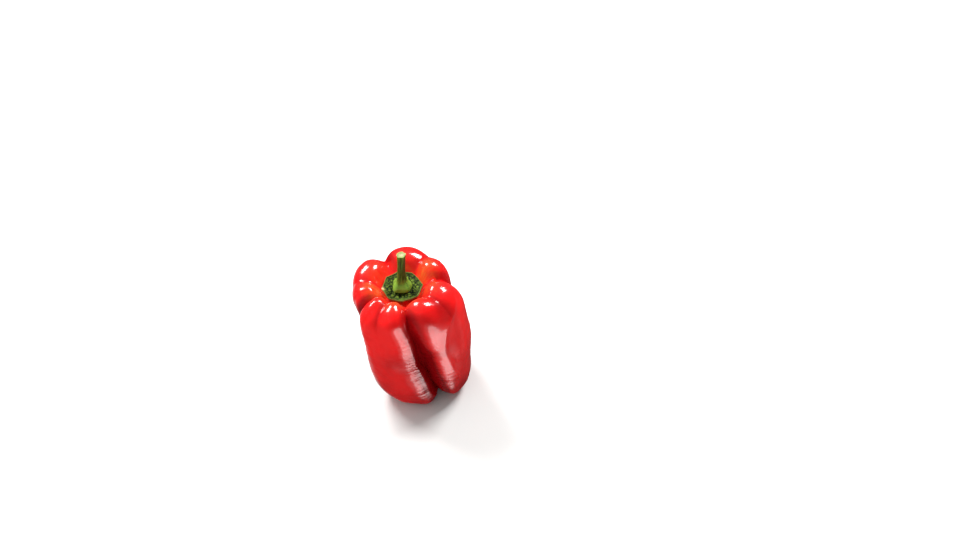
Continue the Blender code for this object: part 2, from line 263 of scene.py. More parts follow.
class PepperStemSettings(bpy.types.PropertyGroup):
    """Sizes and colours of the stem"""

    length: length_property("Length", "From the calyx to the cut end", 0.0332)
    neck_radius: length_property("Neck radius", "Half the thickness at the neck", 0.0027)
    tip_radius: length_property("Tip radius", "Half the thickness at the cut end", 0.0030)
    foot_radius: length_property("Foot radius", "Half the thickness of the swollen foot", 0.0078)
    swing: length_property("Swing", "How far the cut end stands upright of the leaning axis", 0.0052)
    ribs: bpy.props.IntProperty(name="Ribs", description="Ribs along the stem", default=5, min=3, max=9)
    rib_height: length_property("Rib height", "Height of the ribs along the neck", 0.00038)
    rib_green: colour_property("Rib green", "The bright ribs and the swollen foot", (0.135, 0.255, 0.024))
    furrow_green: colour_property("Furrow green", "The dark furrows", (0.018, 0.064, 0.006))
    cut_pale: colour_property("Cut pale", "The cut end's flesh", (0.19, 0.24, 0.075))
    pith_beige: colour_property("Pith beige", "The cut end's dry pith", (0.33, 0.28, 0.155))


class PepperStageSettings(bpy.types.PropertyGroup):
    """Floor, lights and camera"""

    floor_colour: colour_property("Floor colour", "The pale floor", (0.62, 0.62, 0.61))
    floor_width: length_property("Floor width", "Width of the floor", 6.0)
    camera_height: bpy.props.FloatProperty(
        name="Camera elevation",
        description="Angle of the camera above the floor",
        default=math.radians(47.0),
        subtype="ANGLE",
        unit="ROTATION",
    )
    camera_distance: length_property("Camera distance", "From the camera to the pepper's middle", 1.648)
    aside: length_property("Room beside", "How far the pepper stands left of the frame's middle", 0.0485)
    below: length_property("Room above", "How far the pepper stands below the frame's middle", 0.0443)
    window_power: bpy.props.FloatProperty(
        name="Window power", description="Power of the soft lights behind", default=14.0, unit="POWER"
    )
    sky: share_property("Sky", "Strength of the even light all round", 0.13)
    dome: bpy.props.FloatProperty(
        name="Dome", description="Strength of the soft dome overhead", default=1.35, min=0.0
    )
    sky_gloss: share_property("Sky in the gloss", "How bright the even light is in reflections", 0.05)


class PepperSettings(bpy.types.PropertyGroup):
    """Everything that a user would change"""

    fruit: bpy.props.PointerProperty(name="Fruit", description="The fruit", type=PepperFruitSettings)
    calyx: bpy.props.PointerProperty(name="Calyx", description="The calyx", type=PepperCalyxSettings)
    stem: bpy.props.PointerProperty(name="Stem", description="The stem", type=PepperStemSettings)
    stage: bpy.props.PointerProperty(name="Stage", description="The stage", type=PepperStageSettings)


# ------------------------------------------------------------------------------------------------ shape


def smooth_between(stations, values, at):
    """A smooth curve through the values at the stations, with no overshoot."""
    stations = np.asarray(stations, float)
    values = np.asarray(values, float)
    steps = np.diff(stations)
    rises = np.diff(values) / steps
    slopes = np.zeros(len(values))
    same_way = rises[:-1] * rises[1:] > 0
    harmonic = 2 * rises[:-1] * rises[1:] / np.where(same_way, rises[:-1] + rises[1:], 1)
    slopes[1:-1] = np.where(same_way, harmonic, 0)
    slopes[0], slopes[-1] = rises[0], rises[-1]
    at = np.clip(at, stations[0], stations[-1])
    k = np.clip(np.searchsorted(stations, at, side="right") - 1, 0, len(steps) - 1)
    t = (at - stations[k]) / steps[k]
    return (
        values[k] * (1 + 2 * t) * (1 - t) ** 2
        + steps[k] * slopes[k] * t * (1 - t) ** 2
        + values[k + 1] * t * t * (3 - 2 * t)
        + steps[k] * slopes[k + 1] * t * t * (t - 1)
    )


def ramp(value, low, high):
    """0 below low and 1 above high, eased between them."""
    t = np.clip((value - low) / (high - low), 0, 1)
    return t * t * (3 - 2 * t)


def grain(points, scale, seed=0.0, stretch=(1.0, 1.0, 1.0)):
    """Smooth noise from -1 to 1 at each of the points, with features about 1 / scale across."""
    flat = np.asarray(points, float).reshape(-1, 3) * (np.array(stretch) * scale) + seed
    values = np.array([noise.noise(Vector(p)) for p in flat.tolist()])
    return values.reshape(np.shape(points)[:-1])


def round_about(bearing, across, along):
    """Points for grain that meet themselves after one turn, spread out by across and shifted by along."""
    return np.stack([np.cos(bearing) * across, np.sin(bearing) * across, along], axis=-1)


def cobbles(points, scale):
    """Rounded lumps about 1 / scale across: 0 in the gaps between them, up to 1 on their tops."""
    flat = (np.asarray(points, float).reshape(-1, 3) * scale).tolist()
    gaps = []
    for point in flat:
        near = noise.voronoi(Vector(point))[0]
        gaps.append(near[1] - near[0])
    return np.sqrt(np.clip(np.array(gaps) / 0.75, 0, 1)).reshape(np.shape(points)[:-1])


class PepperForm:
    """The fruit's smooth form, and the places that the calyx and the stem take from it."""

    def __init__(self, settings):
        self.fruit = settings.fruit
        self.calyx = settings.calyx
        self.gap = 0.0004
        self.seat_height = self.fruit.height - self.fruit.recess_depth
        self.seat_radius = self.calyx.radius + self.gap
        self.shift = np.zeros(3)

    def knots(self):
        """(radius, height, heading in degrees, handle share) at each whole station of the ridge outline."""
        fruit = self.fruit
        return (
            (0.0, self.seat_height, 0, 0.33),
            (self.seat_radius, self.seat_height, 52, 0.30),
            (fruit.crest_radius, fruit.height, 0, 0.42),
            (fruit.shoulder_radius, fruit.height - fruit.shoulder_drop, -90, 0.40),
            (fruit.hip_radius, fruit.hip_height, -97, 0.40),
            (fruit.foot_radius, 0.0, 180, 0.38),
            (0.0, fruit.scar_height, 180, 0.30),
        )

    def outline(self, at):
        """Radius, height and outward normal of the ridge outline at each station in at."""
        at = np.asarray(at, float)
        knots = self.knots()
        k = np.clip(at.astype(int), 0, len(knots) - 2)
        t = at - k
        radius, height, heading, share = (np.array(column, float) for column in zip(*knots))
        heading = np.radians(heading)
        chord = np.hypot(radius[k + 1] - radius[k], height[k + 1] - height[k])
        first = share[k] * chord
        second = share[k + 1] * chord
        place = []
        travel = []
        for ends, turn in ((radius, np.cos), (height, np.sin)):
            p0 = ends[k]
            p3 = ends[k + 1]
            p1 = p0 + first * turn(heading[k])
            p2 = p3 - second * turn(heading[k + 1])
            place.append((1 - t) ** 3 * p0 + 3 * t * (1 - t) ** 2 * p1 + 3 * t * t * (1 - t) * p2 + t**3 * p3)
            travel.append((1 - t) ** 2 * (p1 - p0) + 2 * t * (1 - t) * (p2 - p1) + t * t * (p3 - p2))
        length = np.hypot(*travel)
        return place[0], place[1], -travel[1] / length, travel[0] / length

    def rows(self, count):
        """Stations spaced evenly along the outline, from the axis to the scar, and how far along each is."""
        fine = np.linspace(0, SCAR, 2401)
        radius, height = self.outline(fine)[:2]
        along = np.concatenate([[0], np.cumsum(np.hypot(np.diff(radius), np.diff(height)))])
        lengths = np.linspace(0, along[-1], count + 2)[1:-1]
        return np.interp(lengths, along, fine), lengths

    def surface(self, lobe, t, station):
        """Points before the fruit leans, t across the lobe from its crease, and their depths in a crease."""
        first = CREASES[lobe]
        second = CREASES[(lobe + 1) % len(CREASES)]
        start, end = span(first, second, station)
        bearing = start + (end - start) * t
        ease = t * t * (3 - 2 * t)
        depth = crease_depth(first, station) * (1 - ease) + crease_depth(second, station) * ease
        bank = crease_bank(first.bank_after, station) * (1 - ease)
        bank = bank + crease_bank(second.bank_before, station) * ease
        in_crease = depth * (1 - lobe_form(t, bank, station))

        whole = lobe - lobe % 2
        start, end = span(CREASES[whole], CREASES[(whole + 2) % len(CREASES)], station)
        across = np.clip(np.mod(bearing - start, 2 * np.pi) / (end - start), 0, 1)
        turn = across * across * (3 - 2 * across)
        before = crease_bank(CREASES[(whole + 2) % len(CREASES)].bank_before, station)
        slope = crease_bank(CREASES[whole].bank_after, station) * (1 - turn) + before * turn
        wave = np.clip(np.sin(np.pi * across), 0, 1) ** (0.55 + 0.45 * slope)
        fall = smooth_between(CREASE_STATIONS, EDGE_FALL, station) * (1 - wave)

        # Halfway across, a lobe's own swell counts alone; at a crease, as much as the neighbour's.
        own = ridge_swell(lobe, station)
        beside = np.where(t < 0.5, ridge_swell(lobe - 1, station), ridge_swell(lobe + 1, station))
        inward = in_crease + fall - own - 2 * (t - 0.5) ** 2 * (beside - own)
        if lobe == len(CREASES) - 1:
            away = (np.mod(crease_bearing(second, station) - bearing, 2 * np.pi)) * self.outline(station)[0]
            along = ramp(station, 2.7, 3.3) * (1 - ramp(station, 4.0, 4.8))
            inward = inward - LIP_HEIGHT * along * np.exp(-(((away - LIP_AWAY) / LIP_HALF_WIDTH) ** 2))

        radius, height, out_r, out_z = self.outline(station)
        radius = radius - inward * out_r
        height = height - inward * out_z
        points = np.stack([radius * np.cos(bearing), radius * np.sin(bearing), height], axis=-1)
        return points, in_crease, bearing

    def place(self, points):
        """Carries points from the straight frame to the leaning fruit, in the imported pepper's frame."""
        x, y, z = points[..., 0], points[..., 1], points[..., 2]
        share = z / self.fruit.height
        tip = math.tan(self.fruit.top_tip) * np.clip(share, 0, 1.5) ** 2
        return np.stack([x + self.fruit.lean * (0.5 - share), y, z + x * tip], axis=-1) + self.shift

    def settle(self, rings):
        """Finds the shift that lays the smooth form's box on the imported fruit's."""
        points = self.place(rings).reshape(-1, 3)
        low = points.min(axis=0)
        high = points.max(axis=0)
        middle = (np.array(FRUIT_BOX[0]) + np.array(FRUIT_BOX[1])) / 2
        aside = middle[:2] - (low[:2] + high[:2]) / 2
        self.shift = np.array([*aside, -low[2] - self.fruit.foot_trim])


def crease_depth(crease, station):
    depths = (0.0, crease.seat, crease.crest, crease.shoulder, crease.side, crease.hip, crease.foot, 0.0)
    return smooth_between(CREASE_STATIONS, depths, station)


def crease_bearing(crease, station):
    share = np.clip((station - CREST) / (FOOT - CREST), 0, 1) ** 2
    turn = crease.foot_bearing - crease.crest_bearing
    return np.radians(crease.crest_bearing + turn * share)


def ridge_swell(lobe, station):
    """How far the lobe's ridge stands out from the outline at each station."""
    swell = SWELLS[lobe % len(SWELLS)]
    return smooth_between(CREASE_STATIONS, (0.0, 0.0, *swell, 0.0, 0.0), station)


def span(first, second, station):
    """The bearings that two creases run at, the second counter-clockwise of the first."""
    start = crease_bearing(first, station)
    end = crease_bearing(second, station)
    return start, end + 2 * np.pi * (end < start)


def crease_bank(bank, station):
    """How gently a crease's bank rises: the same all round at the crest, and its own below the shoulder."""
    own = ramp(station, CREST, SIDE) * (1 - 0.5 * ramp(station, HIP, FOOT))
    return CREST_BANK + (bank - CREST_BANK) * own


def lobe_form(t, power, station):
    """0 in the crease and 1 on the lobe's ridge: nearly an arc, with a round at the bottom of the crease."""
    rounding = 0.16 - 0.13 * ramp(station, CREST, SIDE)
    steep = np.minimum(power, 1)
    low = rounding**steep
    wave = (np.sin(np.pi * t) ** 2 + rounding**2) ** (steep / 2)
    wave = (wave - low) / ((1 + rounding**2) ** (steep / 2) - low)
    gentle = np.maximum(power, 1) - 1
    return wave * (1 - gentle * (1 - wave))


def grid_normals(rings):
    """Outward unit normals of a grid of rings that run counter-clockwise and go down."""
    around = np.roll(rings, -1, axis=1) - np.roll(rings, 1, axis=1)
    down = np.gradient(rings, axis=0)
    normals = np.cross(down, around)
    return normals / np.maximum(np.linalg.norm(normals, axis=-1, keepdims=True), 1e-12)


def ring_faces(rings, columns):
    """Quads between rings of vertices, wound to face away from the axis going down."""
    ring, column = np.meshgrid(np.arange(rings - 1), np.arange(columns), indexing="ij")
    here = ring * columns + column
    beside = ring * columns + (column + 1) % columns
    return np.stack([here, here + columns, beside + columns, beside], axis=-1).reshape(-1, 4)


def closed_mesh(name, rings, top, bottom):
    """One closed mesh: a vertex at the top, rings of equal length below it and a vertex at the bottom."""
    count, columns = rings.shape[:2]
    points = np.concatenate([rings.reshape(-1, 3), [top], [bottom]])
    faces = ring_faces(count, columns).tolist()
    over = count * columns
    last = (count - 1) * columns
    for column in range(columns):
        beside = (column + 1) % columns
        faces.append((over, column, beside))
        faces.append((over + 1, last + beside, last + column))
    mesh = bpy.data.meshes.new(name)
    mesh.from_pydata(points.tolist(), [], faces)
    mesh.shade_smooth()
    return mesh


def write_attribute(mesh, name, values, top, bottom):
    """Stores one number per vertex, for a material to read."""
    stored = mesh.attributes.new(name, "FLOAT", "POINT")
    stored.data.foreach_set("value", np.concatenate([np.ravel(values), [top, bottom]]).astype(np.float32))


def write_unrolled(mesh, around, along):
    """Stores the surface unrolled, in metres, so that ripples can run across the fruit with no stretch."""
    count, columns = around.shape
    layer = mesh.uv_layers.new(name="unrolled")
    loops = np.zeros(len(mesh.loops), np.int32)
    mesh.loops.foreach_get("vertex_index", loops)
    flat_around = np.concatenate([around.ravel(), [0, 0]])
    flat_along = np.concatenate([along.ravel(), [along.min(), along.max()]])
    u = flat_around[loops]
    v = flat_along[loops]
    starts = np.zeros(len(mesh.polygons), np.int32)
    totals = np.zeros(len(mesh.polygons), np.int32)
    mesh.polygons.foreach_get("loop_start", starts)
    mesh.polygons.foreach_get("loop_total", totals)
    face = np.repeat(np.arange(len(starts)), totals)
    column = np.where(loops < count * columns, loops % columns, -1)
    last = np.maximum.reduceat(column, starts)[face]
    widest = around.max(axis=1) + np.diff(around, axis=1).mean(axis=1)
    row = np.minimum(loops // columns, count - 1)
    wraps = (column == 0) & (last == columns - 1)
    u = np.where(wraps, widest[row], u)
    layer.uv.foreach_set("vector", np.stack([u, v], axis=-1).astype(np.float32).ravel())


def add_piece(name, mesh, material, node):
    """One named piece that rides on the pepper and stands for its plain CAD node."""
    mesh.materials.append(material)
    piece = bpy.data.objects.new(name, mesh)
    bpy.context.scene.collection.objects.link(piece)
    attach(piece, "root")
    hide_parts(node)
    return piece


# ---------------------------------------------------------------------------------------------- finishes


class Finish:
    """One node material under construction: its shader, and short ways to add and join nodes."""

    def __init__(self, name):
        self.material = bpy.data.materials.new(name)
        self.material.use_nodes = True
        self.tree = self.material.node_tree
        self.shader = self.tree.nodes["Principled BSDF"]

    def add(self, kind, inputs=None, **settings):
        node = self.tree.nodes.new(kind)
        for key, value in settings.items():
            setattr(node, key, value)
        for key, value in (inputs or {}).items():
            self.put(node.inputs[key], value)
        return node

    def put(self, socket, value):
        if isinstance(value, bpy.types.NodeSocket):
            self.tree.links.new(value, socket)
        else:
            socket.default_value = value

    def stored(self, name):
        return self.add("ShaderNodeAttribute", attribute_name=name).outputs["Fac"]

    def place(self):
        return self.add("ShaderNodeTexCoord").outputs["Object"]

    def scaled(self, vector, scale):
        return self.add("ShaderNodeMapping", {"Vector": vector, "Scale": scale}).outputs["Vector"]

    def unrolled(self, across, along):
        """Unrolled coordinates with their own scale across and along the fruit."""
        here = self.add("ShaderNodeUVMap", uv_map="unrolled").outputs["UV"]
        return self.scaled(here, (across, along, 1.0))

    def noise(self, vector, scale, detail=2.0, roughness=0.5):
        inputs = {"Vector": vector, "Scale": scale, "Detail": detail, "Roughness": roughness}
        return self.add("ShaderNodeTexNoise", inputs).outputs["Fac"]

    def math(self, operation, first, second=0.0):
        node = self.add("ShaderNodeMath", operation=operation)
        self.put(node.inputs[0], first)
        self.put(node.inputs[1], second)
        return node.outputs[0]

    def range(self, value, low, high, new_low=0.0, new_high=1.0):
        inputs = {"Value": value, "From Min": low, "From Max": high, "To Min": new_low, "To Max": new_high}
        return self.add("ShaderNodeMapRange", inputs, interpolation_type="SMOOTHSTEP").outputs["Result"]

    def mix(self, share, first, second):
        node = self.add("ShaderNodeMix", data_type="RGBA")
        self.put(node.inputs[0], share)
        self.put(node.inputs[6], first if isinstance(first, bpy.types.NodeSocket) else (*first, 1.0))
        self.put(node.inputs[7], second if isinstance(second, bpy.types.NodeSocket) else (*second, 1.0))
        return node.outputs[2]

    def bump(self, height, distance, strength=1.0, before=None):
        inputs = {"Height": height, "Distance": distance, "Strength": strength}
        if before is not None:
            inputs["Normal"] = before
        return self.add("ShaderNodeBump", inputs).outputs["Normal"]

    def set(self, **values):
        """Sets or joins the shader's own sockets, named in lower case with underscores."""
        for key, value in values.items():
            self.put(self.shader.inputs[key.replace("_", " ").title().replace("Ior", "IOR")], value)


def waxy_skin(fruit):
    """Thick waxy red skin: glossy coat, faint flesh glow, orange streaks, ripples and fine pores, with
    painted shade darkening it in the creases and towards the bottom.
    """
    skin = Finish("waxy_red_skin")
    here = skin.place()
    # Painted shade: the skin darkens towards the deep red in the creases (fold), mixed with random ripe
    # patches.
    fold = skin.stored("fold")
    ripe = skin.range(skin.noise(here, 34.0, 3.0), 0.40, 0.72)
    deep = skin.math("MULTIPLY_ADD", fold, 0.60)
    skin.put(deep.node.inputs[2], skin.math("MULTIPLY", ripe, 0.38))
    # Painted shade: the skin is painted a darker red towards the bottom.
    low = skin.add("ShaderNodeSeparateXYZ", {"Vector": here}).outputs["Z"]
    deep = skin.math("ADD", deep, skin.range(low, 0.085, 0.0, 0.0, 0.45))
    # Painted shade: the deeper valleys between the lobes are painted darker still, most of all low down.
    cleft = skin.stored("cleft")
    deep = skin.math("ADD", deep, skin.math("MULTIPLY", cleft, skin.range(low, 0.095, 0.042, 0.12, 0.9)))
    red = skin.mix(deep, tuple(fruit.skin_red), tuple(fruit.ripe_and_shade_red))
    streaks = skin.range(skin.noise(skin.unrolled(420.0, 60.0), 1.0, 2.0), 0.30, 0.70)
    blush = skin.math("MULTIPLY", skin.stored("blush"), skin.range(streaks, 0.0, 1.0, 0.45, 1.0))
    red = skin.mix(blush, red, tuple(fruit.blush_orange))
    pores = skin.range(skin.noise(here, 1500.0, 1.0), 0.62, 0.75, 0.0, 0.10)
    red = skin.mix(pores, red, tuple(fruit.blush_orange))
    red = skin.mix(skin.stored("scar"), red, tuple(fruit.scar_brown))
    ripples = skin.noise(skin.unrolled(140.0, 460.0), 1.0, 2.0, 0.5)
    patchy = skin.range(skin.noise(here, 60.0, 2.0), 0.42, 0.62)
    patchy = skin.math("MULTIPLY", patchy, skin.stored("side"))
    rippled = skin.math("MULTIPLY", ripples, skin.math("MAXIMUM", skin.stored("rippled"), patchy))
    relief = skin.bump(rippled, 0.00075)
    relief = skin.bump(skin.noise(here, 900.0, 2.0), 0.000022, 1.0, relief)
    above_foot = skin.range(low, 0.003, 0.022, 0.0, 1.0)
    waxed = skin.math("MULTIPLY", skin.range(cleft, 0.0, 1.0, 0.9, 0.0), above_foot)
    skin.set(
        base_color=red,
        roughness=skin.range(skin.noise(here, 220.0, 3.0), 0.3, 0.7, 0.30, 0.42),
        ior=1.45,
        specular_ior_level=skin.range(cleft, 0.0, 1.0, 0.06, 0.0),
        normal=relief,
        coat_weight=waxed,
        coat_roughness=0.13,
        coat_ior=1.5,
        coat_normal=relief,
        subsurface_weight=0.18,
        subsurface_radius=(1.0, 0.16, 0.08),
        subsurface_scale=0.003,
    )
    return skin.material


def puckered_leaf(calyx):
    """Dark crinkled calyx: bright green tops, nearly black pits that are painted shade, a thin pale rim and
    one dry tan point.
    """
    leaf = Finish("puckered_calyx_leaf")
    here = leaf.place()
    mottle = leaf.noise(here, 700.0, 3.0)
    lifted = leaf.math("ADD", leaf.stored("relief"), leaf.range(mottle, 0.3, 0.7, -0.16, 0.16))
    # Painted shade: the lower a point lies among the lumps, the nearer it is painted to black.
    green = leaf.mix(leaf.range(lifted, 0.30, 0.92), tuple(calyx.pit_shade), tuple(calyx.leaf_green))
    green = leaf.mix(leaf.stored("rim"), green, tuple(calyx.rim_green))
    green = leaf.mix(leaf.stored("dry"), green, tuple(calyx.tip_tan))
    relief = leaf.bump(leaf.noise(here, 1300.0, 3.0, 0.6), 0.00016)
    leaf.set(
        base_color=green,
        roughness=leaf.range(mottle, 0.3, 0.7, 0.50, 0.70),
        specular_ior_level=0.06,
        normal=relief,
        subsurface_weight=0.08,
        subsurface_radius=(0.4, 1.0, 0.2),
        subsurface_scale=0.0008,
    )
    return leaf.material


def ribbed_stalk(stem):
    """Green stem: bright ribs and dark furrows, the furrows partly painted shade, one side painted brighter
    as light, fine fibres along it, and a pale cut end with dry pith.
    """
    stalk = Finish("ribbed_green_stem")
    here = stalk.place()
    fibres = stalk.noise(stalk.scaled(here, (1500.0, 1500.0, 110.0)), 1.0, 3.0)
    bright = stalk.math("ADD", stalk.stored("ridge"), stalk.range(fibres, 0.3, 0.7, -0.22, 0.22))
    # The furrows are darker than the ribs, partly the stem's own colour and partly painted shade in the
    # furrows.
    green = stalk.mix(stalk.range(bright, 0.05, 0.95), tuple(stem.furrow_green), tuple(stem.rib_green))
    flecks = stalk.range(stalk.noise(here, 900.0, 2.0), 0.60, 0.72, 0.0, 0.12)
    green = stalk.mix(flecks, green, tuple(stem.cut_pale))
    flesh = stalk.mix(stalk.stored("pith"), tuple(stem.cut_pale), tuple(stem.pith_beige))
    green = stalk.mix(stalk.stored("cut"), green, flesh)
    relief = stalk.bump(fibres, 0.00012)
    relief = stalk.bump(stalk.noise(here, 1100.0, 2.0), 0.00004, 1.0, relief)
    stalk.set(
        base_color=green,
        roughness=stalk.range(fibres, 0.3, 0.7, 0.36, 0.55),
        specular_ior_level=0.16,
        normal=relief,
        coat_weight=0.05,
        coat_roughness=0.25,
        subsurface_weight=0.12,
        subsurface_radius=(0.5, 1.0, 0.2),
        subsurface_scale=0.0012,
    )
    return stalk.material


def matt_floor(stage):
    """Plain pale matt floor with a barely visible tooth."""
    floor = Finish("matt_white_floor")
    here = floor.place()
    cloudy = floor.range(floor.noise(here, 9.0, 3.0), 0.3, 0.7, 0.0, 0.03)
    tone = floor.mix(cloudy, tuple(stage.floor_colour), (0.8, 0.8, 0.8))
    tooth = floor.bump(floor.noise(here, 600.0), 0.00003)
    floor.set(base_color=tone, roughness=0.7, specular_ior_level=0.2, normal=tooth)
    return floor.material


# ------------------------------------------------------------------------------------------------ pieces


def turned_by(bearing, centre):
    """The signed angle from centre to bearing, in radians."""
    return np.mod(bearing - centre + np.pi, 2 * np.pi) - np.pi


def dimples(bearing, height, radius):
    """How far in the broad dimples lie at each point."""
    depth = np.zeros_like(height)
    for dimple in DIMPLES:
        across = turned_by(bearing, math.radians(dimple.bearing)) * radius / dimple.half_width
        up = (height - dimple.height) / dimple.half_height
        depth = depth + dimple.depth * np.exp(-(across**2) - up**2)
    return depth


def folds(bearing, height, radius):
    """How far the folds stand out at each point, and the valleys lie in."""
    out = np.zeros_like(height)
    for fold in FOLDS:
        crest = np.radians(smooth_between(fold.heights, fold.bearings, height))
        away = np.abs(turned_by(bearing, crest) * radius / fold.half_width)
        fade = ramp(height, fold.low - 0.010, fold.low + 0.010)
        fade = fade * (1 - ramp(height, fold.high - 0.005, fold.high + 0.004))
        out = out + fold.height * np.exp(-(away**1.5)) * fade
    return out


def beside_creases(bearing, radius, station):
    """1 in the four long creases, falling to 0 at the ripples' reach."""
    beside = np.zeros_like(radius)
    for crease in CREASES[::2]:
        away = turned_by(bearing, crease_bearing(crease, station)) * radius / RIPPLE_REACH
        beside = np.maximum(beside, np.exp(-(away**4)))
    return beside


def cross_ripples(bearing, length):
    """Fine ripples that run round the fruit, with longer cracks among them."""
    ripples = grain(round_about(bearing, 2.6, length * 330), 1.0, 5.3)
    return ripples + 1.6 * grain(round_about(bearing, 4.5, length * 170), 1.0, 23.0)


def calyx_puckers(bearing, length):
    """Small folds that run out from the calyx and fade on the crests."""
    by_calyx = ramp(length, 0.0145, 0.018) * (1 - ramp(length, 0.024, 0.040))
    return grain(round_about(bearing, 3.4, length * 30), 1.0, 17.0) * by_calyx


def grow_fruit(settings):
    """The fruit: the smooth form with dents, cross ripples beside the creases and puckers by the calyx."""
    form = PepperForm(settings)
    fruit = settings.fruit
    stations, lengths = form.rows(FRUIT_ROWS)
    t = np.arange(LOBE_COLUMNS) / LOBE_COLUMNS
    t = t - COLUMN_CROWDING * np.sin(2 * np.pi * t)
    across, down = np.meshgrid(t, stations)
    lobes = range(SEAM_LOBE, SEAM_LOBE + len(CREASES))
    parts = [form.surface(lobe % len(CREASES), across, down) for lobe in lobes]
    rings = np.concatenate([part[0] for part in parts], axis=1)
    in_crease = np.concatenate([part[1] for part in parts], axis=1)
    lobe_of = np.repeat(np.array([lobe % len(CREASES) for lobe in lobes]), LOBE_COLUMNS)[None, :]
    t_of = np.tile(t, len(CREASES))[None, :]
    form.settle(rings)
    base = form.place(rings)
    normals = grid_normals(base)

    radius = np.hypot(rings[..., 0], rings[..., 1])
    bearing = np.arctan2(rings[..., 1], rings[..., 0])
    station = np.broadcast_to(down[:, :1], radius.shape)
    length = np.broadcast_to(lengths[:, None], radius.shape)
    height = rings[..., 2]

    # The relief fades out by the calyx's seat and round the scar, and the ripples above the shoulders too.
    body = ramp(length, 0.017, 0.030) * (1 - ramp(station, 5.2, 5.9))
    flank = (0.15 + 0.85 * beside_creases(bearing, radius, station)) * ramp(station, 2.7, 3.4)
    dents = 0.65 * grain(rings, 42.0, 3.1, (1, 1, 0.75)) + 0.35 * grain(rings, 95.0, 9.7, (1, 1, 0.6))
    raised = fruit.dent_depth * dents * body
    raised = raised + fruit.ripple_depth * cross_ripples(bearing, length) * flank * body
    raised = raised + fruit.pucker_depth * calyx_puckers(bearing, length)
    raised = raised - dimples(bearing, height, radius) * body
    raised = raised + folds(bearing, height, radius) * ramp(length, 0.016, 0.022)
    shaped = base + normals * raised[..., None]

    # The feet press flat on the floor, with a soft edge.
    soft = 0.0004
    shaped[..., 2] = (shaped[..., 2] + np.sqrt(shaped[..., 2] ** 2 + soft**2)) / 2

    top = form.place(np.array([0, 0, form.seat_height]))
    bottom = form.place(np.array([0, 0, fruit.scar_height]))
    mesh = closed_mesh("bell_pepper_fruit", shaped, top, bottom)
    # Painted shade: fold and cleft say how far the skin is painted darker in the creases; cleft also dulls
    # the coat there.
    write_attribute(mesh, "fold", ramp(in_crease, 0.0004, 0.0030) * body, 0, 0)
    write_attribute(mesh, "cleft", ramp(in_crease, 0.0024, 0.0050) * ramp(length, 0.016, 0.020), 0, 0)
    strength = np.array(BLUSHES)[lobe_of] * np.sin(np.pi * t_of) ** 0.7
    fade = (1 - ramp(length, 0.021, 0.040)) * (0.75 + 0.25 * grain(rings, 160.0, 2.2))
    write_attribute(mesh, "blush", np.clip(strength * fade, 0, 1), 0.5, 0)
    write_attribute(mesh, "rippled", flank * body, 0, 0)
    write_attribute(mesh, "side", 0.35 * ramp(station, 2.8, 3.5) * body, 0, 0)
    scar = 1 - ramp(radius, 0.0016, 0.0034) - (station < FOOT)
    write_attribute(mesh, "scar", scar, 0, 1)
    around = np.mod(bearing - bearing[:, :1], 2 * np.pi) * UNROLLED_RADIUS
    write_unrolled(mesh, around, length)
    return add_piece("bell_pepper_fruit", mesh, waxy_skin(fruit), "fruit")


def calyx_rim(calyx, bearing):
    """The calyx's outline: blunt points with shallow bays between them."""
    points = np.radians(CALYX_POINTS)
    ends = np.concatenate([points, [points[0] + 2 * np.pi]])
    turned = np.mod(bearing - points[0], 2 * np.pi) + points[0]
    k = np.clip(np.searchsorted(ends, turned, side="right") - 1, 0, len(points) - 1)
    across = (turned - ends[k]) / (ends[k + 1] - ends[k])
    return calyx.radius - calyx.point_reach * np.sin(np.pi * across)


def settled_form(settings):
    """The pepper's form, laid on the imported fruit's box."""
    form = PepperForm(settings)
    stations, _ = form.rows(90)
    t = np.arange(LOBE_COLUMNS) / LOBE_COLUMNS
    across, down = np.meshgrid(t, stations)
    lobes = [form.surface(lobe, across, down)[0] for lobe in range(len(CREASES))]
    form.settle(np.concatenate(lobes, axis=1))
    return form


def calyx_lumps(flat, around, radius):
    """Rounded lumps with pits between them and faint pleats: -0.2 in the deepest pits, 1 on the tops."""
    twist = 0.0009 * np.stack([grain(flat, 260.0, 3.3), grain(flat, 260.0, 9.1), 0 * radius], axis=-1)
    large = cobbles(flat + twist, 430.0)
    small = cobbles(flat - twist, 860.0)
    pleats = grain(round_about(around, 4.6, radius * 90), 1.0)
    return np.clip(0.74 * large + 0.20 * small + 0.22 * pleats + 0.05, -0.2, 1.0)


def calyx_curl(calyx, stem_foot, around, radius, shares):
    """How far the calyx curls up beyond the stem's foot, with a few waves along its rim."""
    beyond_foot = np.clip((radius - stem_foot) / (calyx.radius - stem_foot), 0, 1)
    wave = grain(round_about(around, 1.7, 0 * radius), 1.0, 7.7)
    waves = RIM_WAVE * np.clip(wave + 0.25, 0, 1) * ramp(shares, 0.55, 1.0)[:, None]
    return calyx.curl * beyond_foot**2 + waves


